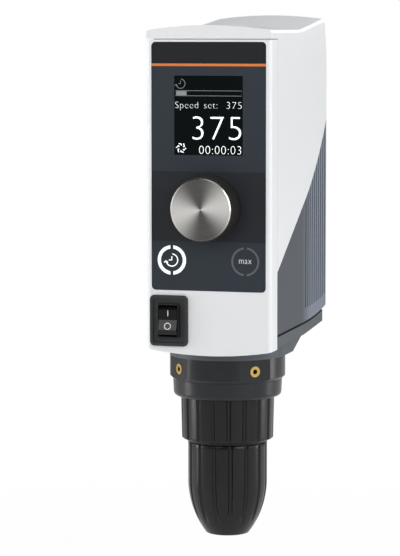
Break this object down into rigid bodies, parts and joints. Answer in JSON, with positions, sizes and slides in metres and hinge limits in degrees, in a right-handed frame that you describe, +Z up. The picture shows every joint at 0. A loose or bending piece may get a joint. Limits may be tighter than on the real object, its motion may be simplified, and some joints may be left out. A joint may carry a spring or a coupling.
{
  "type": "overhead stirrer",
  "caption": "Laboratory overhead stirrer: drive head with display and speed knob on an arm, hollow belt-driven spindle and keyless three-jaw chuck.",
  "frame": {"origin": "on the spindle axis, at the mouth of the chuck", "axes": "+Z up along the spindle axis, -Y out of the front panel, +X to the right seen from behind the panel's back"},
  "size_m": [0.086, 0.201, 0.355],
  "materials": {
    "white_shell": "satin moulded shell",
    "dark_panel": "dark grey matte front foil",
    "display_glass": "dark glass",
    "ring_white": "light-guide rings",
    "board_dark": "black component housings",
    "board_green": "printed circuit board",
    "brass": "turned brass",
    "black_plastic": "black moulding",
    "steel": "turned steel",
    "knob_dark": "dark grey satin",
    "spun_aluminium": "spun face",
    "black_rubber": "black rubber",
    "black_gloss": "glossy black",
    "housing_grey": "fine textured grey",
    "cast_dark": "dark satin coating",
    "aluminium": "milled",
    "stator_iron": "stacked sheets",
    "chuck_black": "black satin coating"
  },
  "bodies": {
    "head": {"front_frame": "white_shell", "upper_shell": "white_shell", "control_panel": "dark_panel", "display_window": "display_glass", "display_module": "board_dark", "timer_key_ring": "ring_white", "max_key_ring": "ring_white", "touch_board": "board_green", "control_board": "board_green", "board_standoffs": "brass", "encoder_body": "black_plastic", "switch_guard": "black_rubber", "switch_bezel": "black_gloss", "switch_body": "black_plastic", "rocker_pin": "steel", "rear_housing": "housing_grey", "housing_gasket": "black_rubber", "arm_casting": "cast_dark", "insert_collar": "cast_dark", "threaded_inserts": "brass", "lower_ring": "cast_dark", "rod_bush": "steel", "case_screws": "steel", "guide_tube": "black_plastic", "mains_inlet": "black_plastic", "inlet_blades": "brass", "power_board": "board_green", "power_components": "board_dark", "motor_bridge": "aluminium", "bridge_posts": "aluminium", "bridge_screws": "steel", "motor_can": "steel", "motor_stator": "stator_iron", "motor_bearings": "steel", "drive_belt": "black_rubber", "bearing_outer_races": "steel", "bearing_retainer": "steel", "spindle_seal": "black_rubber"},
    "spindle": {"spindle": "steel", "spindle_pulley": "aluminium", "spindle_nut": "steel", "bearing_spacer": "aluminium", "bearing_inner_races": "steel", "chuck_body": "chuck_black", "rear_sleeve": "chuck_black"},
    "motor": {"motor_rotor": "steel", "drive_pulley": "aluminium"},
    "sleeve": {"front_sleeve": "chuck_black", "jaw_nut": "steel"},
    "jaw_1": {"jaw_1": "steel"},
    "jaw_2": {"jaw_2": "steel"},
    "jaw_3": {"jaw_3": "steel"},
    "encoder": {"encoder_rotor": "steel"},
    "knob": {"knob_shaft": "steel", "knob_skirt": "knob_dark", "knob_cap": "spun_aluminium"},
    "rocker": {"rocker": "black_gloss"},
    "drawer": {"fuse_drawer": "black_plastic"},
    "plug": {"top_plug": "white_shell"}
  },
  "joints": [
    {"name": "spindle_spin", "type": "hinge", "parent": "head", "child": "spindle", "pos_m": [0, 0, 0], "axis": [0, 0, 1], "continuous": true},
    {"name": "motor_spin", "type": "hinge", "parent": "head", "child": "motor", "pos_m": [0, 0.066, 0], "axis": [0, 0, 1], "continuous": true},
    {"name": "sleeve_turn", "type": "hinge", "parent": "spindle", "child": "sleeve", "pos_m": [0, 0, 0], "axis": [0, 0, 1], "range_deg": [0, 2160]},
    {"name": "speed_turn", "type": "hinge", "parent": "head", "child": "encoder", "pos_m": [0, -0.0475, 0.2268], "axis": [0, 1, 0], "continuous": true},
    {"name": "knob_press", "type": "slide", "parent": "encoder", "child": "knob", "axis": [0, 1, 0], "range_m": [0, 0.0008], "stiffness_N_per_m": 1500, "springref_m": -0.001},
    {"name": "rocker_tilt", "type": "hinge", "parent": "head", "child": "rocker", "pos_m": [-0.0272, -0.0451, 0.1509], "axis": [1, 0, 0], "range_deg": [0, 14]},
    {"name": "drawer_slide", "type": "slide", "parent": "head", "child": "drawer", "axis": [0, 1, 0], "range_m": [0, 0.015]},
    {"name": "plug_lift", "type": "slide", "parent": "head", "child": "plug", "axis": [0, 0, 1], "range_m": [0, 0.009]},
    {"name": "jaw_1_slide", "type": "slide", "parent": "spindle", "child": "jaw_1", "axis": [0, 0.2588, -0.9659], "range_m": [0, 0.01352]},
    {"name": "jaw_2_slide", "type": "slide", "parent": "spindle", "child": "jaw_2", "axis": [-0.2241, -0.1294, -0.9659], "range_m": [0, 0.01352]},
    {"name": "jaw_3_slide", "type": "slide", "parent": "spindle", "child": "jaw_3", "axis": [0.2241, -0.1294, -0.9659], "range_m": [0, 0.01352]}
  ],
  "couplings": [
    {"joint": "motor_spin", "follows": "spindle_spin", "ratio": 2},
    {"joint": "jaw_1_slide", "follows": "sleeve_turn", "m_per_rad": 0.000358},
    {"joint": "jaw_2_slide", "follows": "sleeve_turn", "m_per_rad": 0.000358},
    {"joint": "jaw_3_slide", "follows": "sleeve_turn", "m_per_rad": 0.000358}
  ]
}
